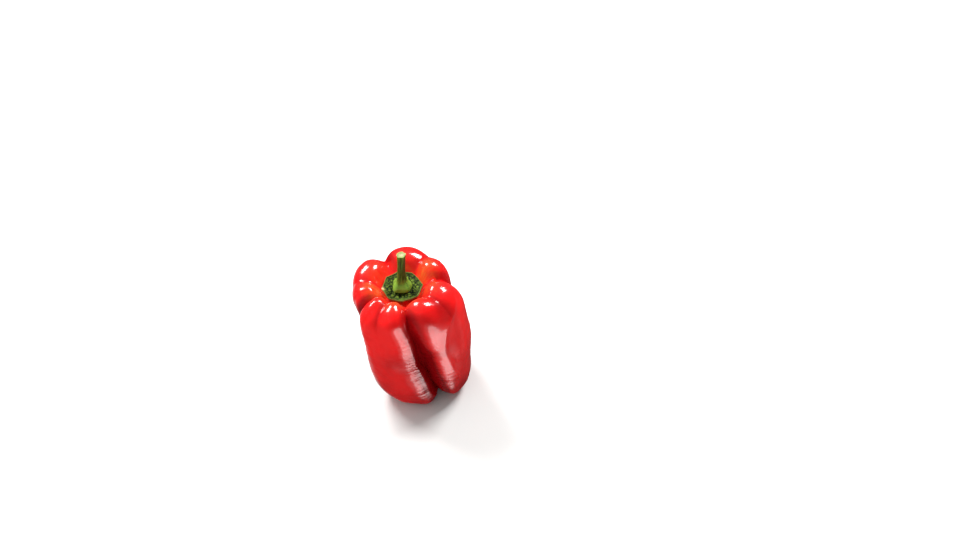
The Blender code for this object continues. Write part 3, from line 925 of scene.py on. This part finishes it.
def grow_calyx(settings):
    """The calyx: a dish with a thin raised rim, its floor crumpled into pits and puckers."""
    form = settled_form(settings)
    calyx = settings.calyx
    columns = 30 * len(CALYX_POINTS)
    bearing = 2 * np.pi * np.arange(columns) / columns
    shares = np.concatenate([np.linspace(0.10, 0.93, 46), [0.955, 0.975, 0.99, 1.0]])
    rim = calyx_rim(calyx, bearing)
    rim = rim + 0.00025 * grain(round_about(bearing, 1.0, 0 * bearing), 5.0, 4.0)
    radius = shares[:, None] * rim[None, :]
    circle = np.stack([np.cos(bearing), np.sin(bearing)], axis=-1)[None]
    plan = radius[..., None] * circle
    flat = np.concatenate([plan, 0 * radius[..., None]], axis=-1)

    # The lumps lie in a ring between the stem and a smooth band inside the rim.
    leafy = ramp(radius, 0.0058, 0.0076) * (1 - ramp(shares, 0.74, 0.93))[:, None]
    around = np.broadcast_to(bearing[None, :], radius.shape)
    relief = calyx_lumps(flat, around, radius)
    curl = calyx_curl(calyx, settings.stem.foot_radius, around, radius, shares)
    under_height = form.seat_height + form.gap + curl
    top_height = under_height + calyx.thickness + calyx.pucker_depth * (relief - 0.50) * leafy
    top_height = np.maximum(top_height, under_height + 0.00025)
    lip = 0.00035 * ramp(shares, 0.90, 0.97) * (1 - 0.55 * ramp(shares, 0.985, 1.0))
    top_height = top_height + lip[:, None]

    # The edge goes down over two rings, and the underside runs in below every few rings of the top.
    edge = np.array([0.7, 0.35])[:, None]
    outer = np.concatenate([plan[-1:], plan[-1:]]) * np.array([1.004, 1.0])[:, None, None]
    outer_height = under_height[-1:] * (1 - edge) + top_height[-1:] * edge
    above = np.concatenate([plan, top_height[..., None]], axis=-1)
    sides = np.concatenate([outer, outer_height[..., None]], axis=-1)
    below_rows = [49, 44, 36, 26, 14, 0]
    below = np.concatenate([plan, under_height[..., None]], axis=-1)[below_rows]
    rings = np.concatenate([above, sides, below])

    centre = form.seat_height + form.gap
    mesh = closed_mesh(
        "bell_pepper_calyx",
        form.place(rings),
        form.place(np.array([0, 0, centre + calyx.thickness])),
        form.place(np.array([0, 0, centre])),
    )
    rest = np.zeros((len(sides) + len(below), columns))
    # Painted shade: the stored relief also paints the pits darker in the material.
    shown = relief * leafy + 0.52 * (1 - leafy)
    write_attribute(mesh, "relief", np.concatenate([shown, rest + 0.4]), 0.7, 0.4)
    rim_share = ramp(shares, 0.970, 0.995)[:, None] * (0.75 + 0.25 * grain(flat, 260.0, 6.1))
    write_attribute(mesh, "rim", np.clip(np.concatenate([rim_share, rest + 0.8]), 0, 1), 0, 0)
    dry = np.exp(-((turned_by(bearing, math.radians(DRY_POINT)) / DRY_HALF_WIDTH) ** 2))
    dry = dry[None, :] * ramp(shares, 0.84, 0.95)[:, None]
    write_attribute(mesh, "dry", np.concatenate([dry, rest + dry[-1:]]), 0, 0)
    return add_piece("bell_pepper_calyx", mesh, puckered_leaf(calyx), "calyx")


def stem_profile(stem, heights):
    """Half the stem's thickness at each height: a swollen foot, a thin neck and a flared cut end."""
    foot = stem.foot_radius
    neck = stem.neck_radius
    end = stem.length
    return smooth_between(
        (0, 0.0008, 0.0020, 0.0036, 0.0052, 0.0070, 0.0095, 0.016, end - 0.006, end - 0.002, end),
        (
            0.74 * foot,
            0.90 * foot,
            foot,
            0.95 * foot,
            0.76 * foot,
            1.55 * neck,
            1.25 * neck,
            0.96 * neck,
            0.96 * neck,
            1.04 * neck,
            stem.tip_radius,
        ),
        heights,
    )


def stem_lumps(bearing, heights):
    """How far the soft lumps of the swollen foot stand out, and the hollows between them lie in."""
    lumps = 0
    for at, size in FOOT_LUMPS:
        lumps = lumps + size * np.exp(-((turned_by(bearing, math.radians(at)) / LUMP_HALF_WIDTH) ** 2))
    swelling = smooth_between(
        (0, 0.0012, 0.0030, 0.0052, 0.0078, 0.0105), (0.15, 0.62, 1, 0.78, 0.22, 0), heights
    )
    return LUMP_HEIGHT * swelling[:, None] * (lumps - 1)[None, :]


def grow_stem(settings):
    """The stem: a swollen foot with soft lumps, a ribbed neck and a flared cut end with dry pith."""
    form = settled_form(settings)
    stem = settings.stem
    columns = 24 * stem.ribs
    bearing = 2 * np.pi * np.arange(columns) / columns
    heights = np.concatenate([np.linspace(0, 0.0085, 44), np.linspace(0.0085, stem.length, 96)[1:]])

    # Ribs that turn a little on the way up, some higher than others, over the lumps of the foot.
    turn = 0.35 * heights / stem.length
    phase = stem.ribs * (bearing[None, :] - turn[:, None]) + 0.7
    wave = np.abs(np.cos(phase / 2)) ** 0.8 * 2 - 1
    uneven = 0.75 + 0.5 * np.sin(2 * bearing + 0.8)[None, :]
    ribs = stem.rib_height * ramp(heights, 0.003, 0.010)[:, None] * wave * uneven
    reach = stem_profile(stem, heights)[:, None] + ribs + stem_lumps(bearing, heights)
    bow = stem.swing * (heights / stem.length) ** 1.2
    base = form.seat_height + 2 * form.gap + settings.calyx.thickness
    plan = np.stack([reach * np.cos(bearing) + bow[:, None], reach * np.sin(bearing)], axis=-1)
    level = np.broadcast_to((base + heights)[:, None], reach.shape)
    knobs = 0.00022 * grain(np.concatenate([plan, level[..., None] * 0.35], axis=-1), 420.0, 2.9)
    reach = reach + knobs
    plan = np.stack([reach * np.cos(bearing) + bow[:, None], reach * np.sin(bearing)], axis=-1)
    skin = np.concatenate([plan, level[..., None]], axis=-1)[::-1]

    # The cut end: a thin rounded edge, then slightly hollow flesh down to the pith.
    inner = np.array([0.10, 0.22, 0.36, 0.50, 0.62, 0.74, 0.85, 0.93, 0.975])
    drops = np.array([-0.50, -0.50, -0.42, -0.20, -0.14, -0.10, -0.04, 0.03, 0.04]) * 0.001
    centre = np.array([bow[-1], 0.0])
    face_plan = centre + inner[:, None, None] * (plan[-1][None] - centre)
    face_level = base + stem.length + drops[:, None] + 0.00012 * grain(
        np.concatenate([face_plan, 0 * face_plan[..., :1]], axis=-1), 900.0, 1.1
    )
    face = np.concatenate([face_plan, face_level[..., None]], axis=-1)
    rings = np.concatenate([face, skin])
    pith_middle = np.array([bow[-1], 0, base + stem.length - 0.0005])
    foot = np.array([0, 0, base])
    mesh = closed_mesh("bell_pepper_stem", form.place(rings), form.place(pith_middle), form.place(foot))

    on_face = np.ones((len(inner), columns))
    # Ribs paler than the furrows, partly the stem's own colour and partly painted shade in the furrows.
    ridge = np.clip(0.5 + 0.5 * wave, 0, 1) * (0.55 + 0.45 * ramp(heights, 0.010, 0.004)[:, None])
    # The swollen foot and the cut end's edge are a brighter green, and one side of the stem is painted
    # brighter as light falling on it.
    foot_glow = 1 - ramp(heights, 0.006, 0.013)
    painted_lit_side = 0.18 * np.cos(bearing - math.radians(200))[None, :]
    tip_glow = ramp(heights, stem.length - 0.005, stem.length)
    ridge = np.clip(0.58 * ridge + painted_lit_side + (0.50 * foot_glow + 0.12 * tip_glow)[:, None], 0, 1)
    write_attribute(mesh, "ridge", np.concatenate([on_face, ridge[::-1]]), 1, 0.5)
    cut = np.concatenate([on_face * ramp(inner, 1.02, 0.90)[:, None], 0 * ridge])
    write_attribute(mesh, "cut", cut, 1, 0)
    pith = np.concatenate([on_face * (1 - ramp(inner, 0.30, 0.62))[:, None], 0 * ridge])
    write_attribute(mesh, "pith", pith, 1, 0)
    return add_piece("bell_pepper_stem", mesh, ribbed_stalk(stem), "stem")


# ------------------------------------------------------------------------------------------------- stage


def add_light(name, place, target, size, power):
    """A soft rectangular light that points at target and doesn't show to the camera."""
    lamp = bpy.data.lights.new(name, "AREA")
    lamp.shape = "RECTANGLE"
    lamp.size, lamp.size_y = size
    lamp.energy = power
    obj = bpy.data.objects.new(name, lamp)
    bpy.context.scene.collection.objects.link(obj)
    obj.location = place
    obj.rotation_mode = "QUATERNION"
    obj.rotation_quaternion = (Vector(target) - Vector(place)).to_track_quat("-Z", "Y")
    obj.visible_camera = False


def build_sky(stage):
    """Even pale light all round. The gloss sees it dim, with soft pale pools low down around the fruit."""
    world = bpy.data.worlds.new("studio_air")
    bpy.context.scene.world = world
    world.use_nodes = True
    world.cycles.sampling_method = "NONE"
    tree = world.node_tree

    def math_node(operation, first, second):
        node = tree.nodes.new("ShaderNodeMath")
        node.operation = operation
        for socket, value in zip(node.inputs, (first, second)):
            if isinstance(value, bpy.types.NodeSocket):
                tree.links.new(value, socket)
            else:
                socket.default_value = value
        return node.outputs[0]

    way = tree.nodes.new("ShaderNodeTexCoord").outputs["Generated"]
    glow = stage.sky_gloss
    for toward, spread, strength in SOFT_POOLS:
        dot = tree.nodes.new("ShaderNodeVectorMath")
        dot.operation = "DOT_PRODUCT"
        tree.links.new(way, dot.inputs[0])
        dot.inputs[1].default_value = Vector(toward).normalized()
        pool = tree.nodes.new("ShaderNodeMapRange")
        pool.interpolation_type = "SMOOTHSTEP"
        pool.inputs["From Min"].default_value = math.cos(math.radians(spread * POOL_EDGE[1]))
        pool.inputs["From Max"].default_value = math.cos(math.radians(spread * POOL_EDGE[0]))
        pool.inputs["To Max"].default_value = strength
        tree.links.new(dot.outputs["Value"], pool.inputs["Value"])
        glow = math_node("MAXIMUM", pool.outputs["Result"], glow)
    gloss = tree.nodes.new("ShaderNodeLightPath").outputs["Is Glossy Ray"]
    dome = tree.nodes.new("ShaderNodeVectorMath")
    dome.operation = "DOT_PRODUCT"
    tree.links.new(way, dome.inputs[0])
    dome.inputs[1].default_value = Vector(DOME_WAY).normalized()
    lobe = math_node("POWER", math_node("MAXIMUM", dome.outputs["Value"], 0.0), 2.0)
    even = math_node("ADD", math_node("MULTIPLY", lobe, stage.dome), stage.sky)
    even = math_node("MULTIPLY", math_node("SUBTRACT", 1.0, gloss), even)
    strength = math_node("ADD", math_node("MULTIPLY", glow, gloss), even)
    shade = tree.nodes["Background"]
    shade.inputs["Color"].default_value = (1, 1, 1, 1)
    tree.links.new(strength, shade.inputs["Strength"])


def build_stage(settings):
    """Floor, soft lights and the camera."""
    stage = settings.stage
    scene = bpy.context.scene
    scene.view_settings.view_transform = "Standard"
    half = stage.floor_width / 2
    corners = [(-half, -half, 0), (half, -half, 0), (half, half, 0), (-half, half, 0)]
    mesh = bpy.data.meshes.new("studio_floor")
    mesh.from_pydata(corners, [], [(0, 1, 2, 3)])
    mesh.materials.append(matt_floor(stage))
    floor = bpy.data.objects.new("studio_floor", mesh)
    scene.collection.objects.link(floor)
    floor.visible_glossy = False

    build_sky(stage)
    middle = (Vector(FRUIT_BOX[0]) + Vector(FRUIT_BOX[1])) / 2
    for name, way, size, share in WINDOWS:
        add_light(name, middle + Vector(way), middle, size, share * stage.window_power)

    forward = Vector((0, math.cos(stage.camera_height), -math.sin(stage.camera_height)))
    up = Vector((0, math.sin(stage.camera_height), math.cos(stage.camera_height)))
    target = Vector((0, 0, 0.05)) + Vector((1, 0, 0)) * stage.aside + up * stage.below
    lens = bpy.data.cameras.new("studio_camera")
    lens.lens = 85
    lens.sensor_width = 36
    camera = bpy.data.objects.new("studio_camera", lens)
    scene.collection.objects.link(camera)
    camera.location = target - forward * stage.camera_distance
    camera.rotation_mode = "QUATERNION"
    camera.rotation_quaternion = forward.to_track_quat("-Z", "Y")
    scene.camera = camera


# ------------------------------------------------------------------------------------- operators and panel


class PEPPER_OT_fruit(bpy.types.Operator):
    """Grow the waxy red fruit with its lobes, creases and ripples"""

    bl_idname = "pepper.fruit"
    bl_label = "Fruit"
    bl_options = {"REGISTER", "UNDO"}

    def execute(self, context):
        grow_fruit(context.scene.bell_pepper)
        return {"FINISHED"}


class PEPPER_OT_calyx(bpy.types.Operator):
    """Lay the puckered green calyx in the sunken ring"""

    bl_idname = "pepper.calyx"
    bl_label = "Calyx"
    bl_options = {"REGISTER", "UNDO"}

    def execute(self, context):
        grow_calyx(context.scene.bell_pepper)
        return {"FINISHED"}


class PEPPER_OT_stem(bpy.types.Operator):
    """Stand the ribbed stem on the calyx"""

    bl_idname = "pepper.stem"
    bl_label = "Stem"
    bl_options = {"REGISTER", "UNDO"}

    def execute(self, context):
        grow_stem(context.scene.bell_pepper)
        return {"FINISHED"}


class PEPPER_OT_stage(bpy.types.Operator):
    """Set out the pale floor, the soft lights and the camera"""

    bl_idname = "pepper.stage"
    bl_label = "Stage"
    bl_options = {"REGISTER", "UNDO"}

    def execute(self, context):
        build_stage(context.scene.bell_pepper)
        return {"FINISHED"}


class PEPPER_PT_sidebar(bpy.types.Panel):
    """The pepper's pieces and their settings"""

    bl_idname = "PEPPER_PT_sidebar"
    bl_label = "Bell Pepper"
    bl_space_type = "VIEW_3D"
    bl_region_type = "UI"
    bl_category = "Pepper"

    def draw(self, context):
        settings = context.scene.bell_pepper
        for title in ("fruit", "calyx", "stem", "stage"):
            part = getattr(settings, title)
            box = self.layout.box()
            box.operator("pepper." + title)
            for name in part.bl_rna.properties.keys():
                if name not in {"rna_type", "name"}:
                    box.prop(part, name)


CLASSES = (
    PepperFruitSettings,
    PepperCalyxSettings,
    PepperStemSettings,
    PepperStageSettings,
    PepperSettings,
    PEPPER_OT_fruit,
    PEPPER_OT_calyx,
    PEPPER_OT_stem,
    PEPPER_OT_stage,
    PEPPER_PT_sidebar,
)


def register():
    for cls in CLASSES:
        bpy.utils.register_class(cls)
    bpy.types.Scene.bell_pepper = bpy.props.PointerProperty(
        name="Bell pepper", description="Settings of the bell pepper", type=PepperSettings
    )


def unregister():
    del bpy.types.Scene.bell_pepper
    for cls in reversed(CLASSES):
        bpy.utils.unregister_class(cls)


def main():
    register()
    bpy.ops.pepper.fruit()
    bpy.ops.pepper.calyx()
    bpy.ops.pepper.stem()
    bpy.ops.pepper.stage()


if __name__ == "__main__":
    main()
